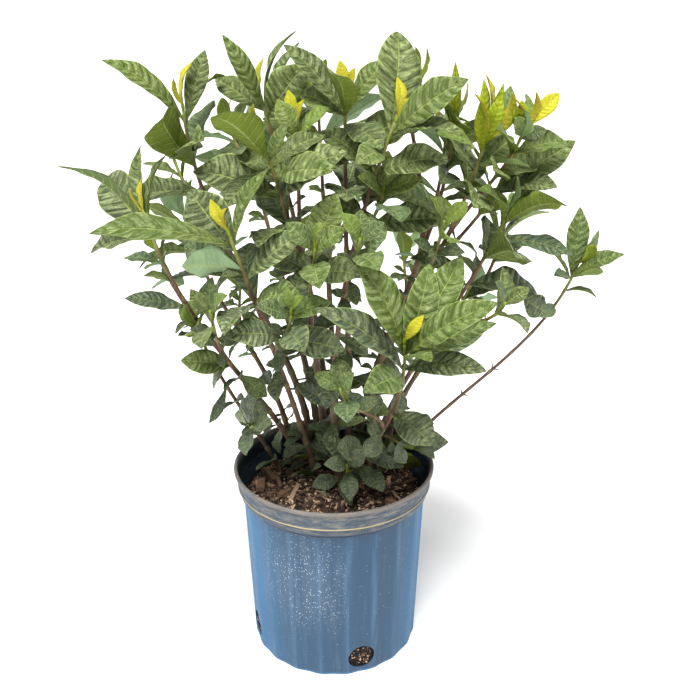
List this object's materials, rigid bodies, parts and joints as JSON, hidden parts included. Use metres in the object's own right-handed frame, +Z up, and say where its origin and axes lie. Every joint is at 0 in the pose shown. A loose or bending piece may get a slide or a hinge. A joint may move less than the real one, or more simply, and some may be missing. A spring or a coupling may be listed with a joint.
{
  "type": "potted gardenia",
  "caption": "Evergreen gardenia shrub with whorled glossy leaves and yellow new growth, rooted in soil in a fluted blue nursery pot.",
  "frame": {"origin": "The centre of the pot's flat underside, where it stands on a surface.", "axes": "+Z points up, from the underside of the pot to the top of the plant. -Y is the side that the picture shows from the front, and +X is to its right."},
  "size_m": [0.596, 0.4797, 0.75],
  "materials": {
    "pot_plastic": "weathered blue moulded plastic, chalky and dusty",
    "potting_soil": "dark bark-based potting mix with chips and white grains",
    "leafy_wood": "satin green leaves with sunk veins on grey-brown bark",
    "young_growth": "glossy yellow-green young leaves and buds"
  },
  "bodies": {
    "root": {"pot": "pot_plastic", "soil": "potting_soil", "stem_back_left": "leafy_wood", "stem_back_left_top": "leafy_wood", "stem_back_mid_left": "leafy_wood", "stem_back_mid_right": "leafy_wood", "stem_back_middle": "leafy_wood", "stem_back_right": "leafy_wood", "stem_far_left": "leafy_wood", "stem_far_right": "leafy_wood", "stem_front": "leafy_wood", "stem_left_front": "leafy_wood", "stem_left_low": "leafy_wood", "stem_left_top": "leafy_wood", "stem_mid_left": "leafy_wood", "stem_mid_right": "leafy_wood", "stem_middle": "leafy_wood", "stem_right_back": "leafy_wood", "stem_right_mid": "leafy_wood", "stem_right_top": "leafy_wood", "tip_back_left": "young_growth", "tip_back_left_top": "young_growth", "tip_back_mid_left": "young_growth", "tip_back_mid_right": "young_growth", "tip_back_middle": "young_growth", "tip_back_right": "young_growth", "tip_far_left": "young_growth", "tip_far_right": "young_growth", "tip_front": "young_growth", "tip_left_front": "young_growth", "tip_left_front_1": "young_growth", "tip_left_low": "young_growth", "tip_left_top": "young_growth", "tip_mid_left": "young_growth", "tip_mid_left_1": "young_growth", "tip_mid_left_2": "young_growth", "tip_mid_right": "young_growth", "tip_middle": "young_growth", "tip_middle_1": "young_growth", "tip_right_back": "young_growth", "tip_right_back_1": "young_growth", "tip_right_mid": "young_growth", "tip_right_top": "young_growth", "tip_right_top_1": "young_growth", "tip_right_top_2": "young_growth"}
  },
  "joints": []
}
